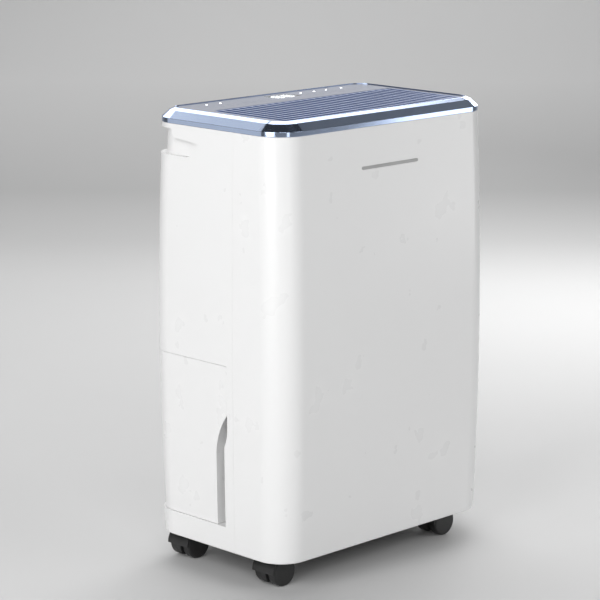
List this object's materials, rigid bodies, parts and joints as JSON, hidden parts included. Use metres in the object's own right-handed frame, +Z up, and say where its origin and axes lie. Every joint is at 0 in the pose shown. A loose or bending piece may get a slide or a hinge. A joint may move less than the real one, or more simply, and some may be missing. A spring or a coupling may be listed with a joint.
{
  "type": "dehumidifier",
  "caption": "Upright room dehumidifier with swelling white covers, polished top rim, slotted air outlet, touch strip, pull-out water tank and twin-wheel casters.",
  "frame": {"origin": "on the floor under the middle of the body", "axes": "+Z up, -Y out of the front cover, +X to the right side as seen from the back"},
  "size_m": [0.3942, 0.2534, 0.6],
  "materials": {
    "white_plastic": "smooth glossy white moulded covers",
    "badge_grey": "satin plain bar",
    "steel": "zinc plated steel",
    "dark_plastic": "dark moulded plastic",
    "grey_plastic": "light grey moulded plastic",
    "rubber": "soft black rubber",
    "foam_white": "closed foam",
    "rim_metal": "blue-tinted polished rim",
    "satin_plate": "satin grey",
    "blue_grille": "satin blue",
    "display_glass": "tinted window",
    "lit_white": "lit white",
    "board_green": "circuit board",
    "filter_cloth": "woven mesh",
    "aluminium": "thin fins",
    "copper": "drawn copper tube",
    "black_metal": "black enamel",
    "caster_black": "black moulded plastic"
  },
  "bodies": {
    "cabinet": {"badge": "badge_grey", "base_pan": "dark_plastic", "base_skirt": "white_plastic", "bay_ceiling": "grey_plastic", "bulkhead": "grey_plastic", "carry_channel": "white_plastic", "case_screws": "steel", "compressor": "black_metal", "compressor_grommets": "rubber", "condenser_fins": "aluminium", "condenser_tubes": "copper", "control_board": "board_green", "control_fascia": "satin_plate", "cord_gland": "rubber", "display_digits": "lit_white", "display_window": "display_glass", "drain_nipple": "grey_plastic", "drip_tray": "grey_plastic", "evaporator_fins": "aluminium", "evaporator_tubes": "copper", "fan_motor": "steel", "fan_scroll": "grey_plastic", "fan_scroll_cover": "grey_plastic", "front_shell": "white_plastic", "indicator_lights": "lit_white", "key_switches": "dark_plastic", "outlet_duct": "dark_plastic", "outlet_grille": "blue_grille", "rear_shell": "white_plastic", "refrigerant_pipes": "copper", "tank_switch": "dark_plastic", "top_bezel": "rim_metal"},
    "tank": {"tank_body": "white_plastic", "tank_lid": "grey_plastic"},
    "float": {"tank_float": "foam_white"},
    "intake_panel": {"intake_grille": "white_plastic", "filter_frame": "dark_plastic", "filter_mesh": "filter_cloth"},
    "fan": {"fan_impeller": "dark_plastic", "fan_shaft": "steel"},
    "key_fan_cap": {"key_fan": "satin_plate"},
    "key_humidity_down_cap": {"key_humidity_down": "satin_plate"},
    "key_humidity_up_cap": {"key_humidity_up": "satin_plate"},
    "key_lock_cap": {"key_lock": "satin_plate"},
    "key_mode_cap": {"key_mode": "satin_plate"},
    "key_power_cap": {"key_power": "satin_plate"},
    "key_swing_cap": {"key_swing": "satin_plate"},
    "key_timer_cap": {"key_timer": "satin_plate"},
    "caster_front_left": {"caster_fork_front_left": "caster_black"},
    "wheel_front_left_a": {"caster_wheel_front_left_a": "caster_black"},
    "wheel_front_left_b": {"caster_wheel_front_left_b": "caster_black"},
    "caster_front_right": {"caster_fork_front_right": "caster_black"},
    "wheel_front_right_a": {"caster_wheel_front_right_a": "caster_black"},
    "wheel_front_right_b": {"caster_wheel_front_right_b": "caster_black"},
    "caster_rear_left": {"caster_fork_rear_left": "caster_black"},
    "wheel_rear_left_a": {"caster_wheel_rear_left_a": "caster_black"},
    "wheel_rear_left_b": {"caster_wheel_rear_left_b": "caster_black"},
    "caster_rear_right": {"caster_fork_rear_right": "caster_black"},
    "wheel_rear_right_a": {"caster_wheel_rear_right_a": "caster_black"},
    "wheel_rear_right_b": {"caster_wheel_rear_right_b": "caster_black"}
  },
  "joints": [
    {"name": "tank_slide", "type": "slide", "parent": "cabinet", "child": "tank", "axis": [0, 1, 0], "range_m": [0, 0.2]},
    {"name": "float_hinge", "type": "hinge", "parent": "tank", "child": "float", "pos_m": [-0.12, -0.004, 0.245], "axis": [1, 0, 0], "range_deg": [0, 10]},
    {"name": "intake_panel_slide", "type": "slide", "parent": "cabinet", "child": "intake_panel", "axis": [0, 1, 0], "range_m": [0, 0.12]},
    {"name": "fan_spin", "type": "hinge", "parent": "cabinet", "child": "fan", "pos_m": [0, 0, 0.425], "axis": [0, 1, 0], "continuous": true},
    {"name": "key_fan_press", "type": "slide", "parent": "cabinet", "child": "key_fan_cap", "axis": [0, 0, -1], "range_m": [0, 0.0005], "stiffness_N_per_m": 400, "springref_m": -0.0005},
    {"name": "key_humidity_down_press", "type": "slide", "parent": "cabinet", "child": "key_humidity_down_cap", "axis": [0, 0, -1], "range_m": [0, 0.0005], "stiffness_N_per_m": 400, "springref_m": -0.0005},
    {"name": "key_humidity_up_press", "type": "slide", "parent": "cabinet", "child": "key_humidity_up_cap", "axis": [0, 0, -1], "range_m": [0, 0.0005], "stiffness_N_per_m": 400, "springref_m": -0.0005},
    {"name": "key_lock_press", "type": "slide", "parent": "cabinet", "child": "key_lock_cap", "axis": [0, 0, -1], "range_m": [0, 0.0005], "stiffness_N_per_m": 400, "springref_m": -0.0005},
    {"name": "key_mode_press", "type": "slide", "parent": "cabinet", "child": "key_mode_cap", "axis": [0, 0, -1], "range_m": [0, 0.0005], "stiffness_N_per_m": 400, "springref_m": -0.0005},
    {"name": "key_power_press", "type": "slide", "parent": "cabinet", "child": "key_power_cap", "axis": [0, 0, -1], "range_m": [0, 0.0005], "stiffness_N_per_m": 400, "springref_m": -0.0005},
    {"name": "key_swing_press", "type": "slide", "parent": "cabinet", "child": "key_swing_cap", "axis": [0, 0, -1], "range_m": [0, 0.0005], "stiffness_N_per_m": 400, "springref_m": -0.0005},
    {"name": "key_timer_press", "type": "slide", "parent": "cabinet", "child": "key_timer_cap", "axis": [0, 0, -1], "range_m": [0, 0.0005], "stiffness_N_per_m": 400, "springref_m": -0.0005},
    {"name": "caster_front_left_swivel", "type": "hinge", "parent": "cabinet", "child": "caster_front_left", "pos_m": [-0.1525, -0.0765, 0.05], "axis": [0, 0, 1], "continuous": true},
    {"name": "wheel_front_left_a_spin", "type": "hinge", "parent": "caster_front_left", "child": "wheel_front_left_a", "pos_m": [-0.1619, -0.0765, 0.019], "axis": [0, 1, 0], "continuous": true},
    {"name": "wheel_front_left_b_spin", "type": "hinge", "parent": "caster_front_left", "child": "wheel_front_left_b", "pos_m": [-0.1619, -0.0765, 0.019], "axis": [0, 1, 0], "continuous": true},
    {"name": "caster_front_right_swivel", "type": "hinge", "parent": "cabinet", "child": "caster_front_right", "pos_m": [0.1525, -0.0765, 0.05], "axis": [0, 0, 1], "continuous": true},
    {"name": "wheel_front_right_a_spin", "type": "hinge", "parent": "caster_front_right", "child": "wheel_front_right_a", "pos_m": [0.1431, -0.0765, 0.019], "axis": [0, 1, 0], "continuous": true},
    {"name": "wheel_front_right_b_spin", "type": "hinge", "parent": "caster_front_right", "child": "wheel_front_right_b", "pos_m": [0.1431, -0.0765, 0.019], "axis": [0, 1, 0], "continuous": true},
    {"name": "caster_rear_left_swivel", "type": "hinge", "parent": "cabinet", "child": "caster_rear_left", "pos_m": [-0.1525, 0.0851, 0.05], "axis": [0, 0, 1], "continuous": true},
    {"name": "wheel_rear_left_a_spin", "type": "hinge", "parent": "caster_rear_left", "child": "wheel_rear_left_a", "pos_m": [-0.1619, 0.0851, 0.019], "axis": [0, 1, 0], "continuous": true},
    {"name": "wheel_rear_left_b_spin", "type": "hinge", "parent": "caster_rear_left", "child": "wheel_rear_left_b", "pos_m": [-0.1619, 0.0851, 0.019], "axis": [0, 1, 0], "continuous": true},
    {"name": "caster_rear_right_swivel", "type": "hinge", "parent": "cabinet", "child": "caster_rear_right", "pos_m": [0.1525, 0.0851, 0.05], "axis": [0, 0, 1], "continuous": true},
    {"name": "wheel_rear_right_a_spin", "type": "hinge", "parent": "caster_rear_right", "child": "wheel_rear_right_a", "pos_m": [0.1431, 0.0851, 0.019], "axis": [0, 1, 0], "continuous": true},
    {"name": "wheel_rear_right_b_spin", "type": "hinge", "parent": "caster_rear_right", "child": "wheel_rear_right_b", "pos_m": [0.1431, 0.0851, 0.019], "axis": [0, 1, 0], "continuous": true}
  ]
}
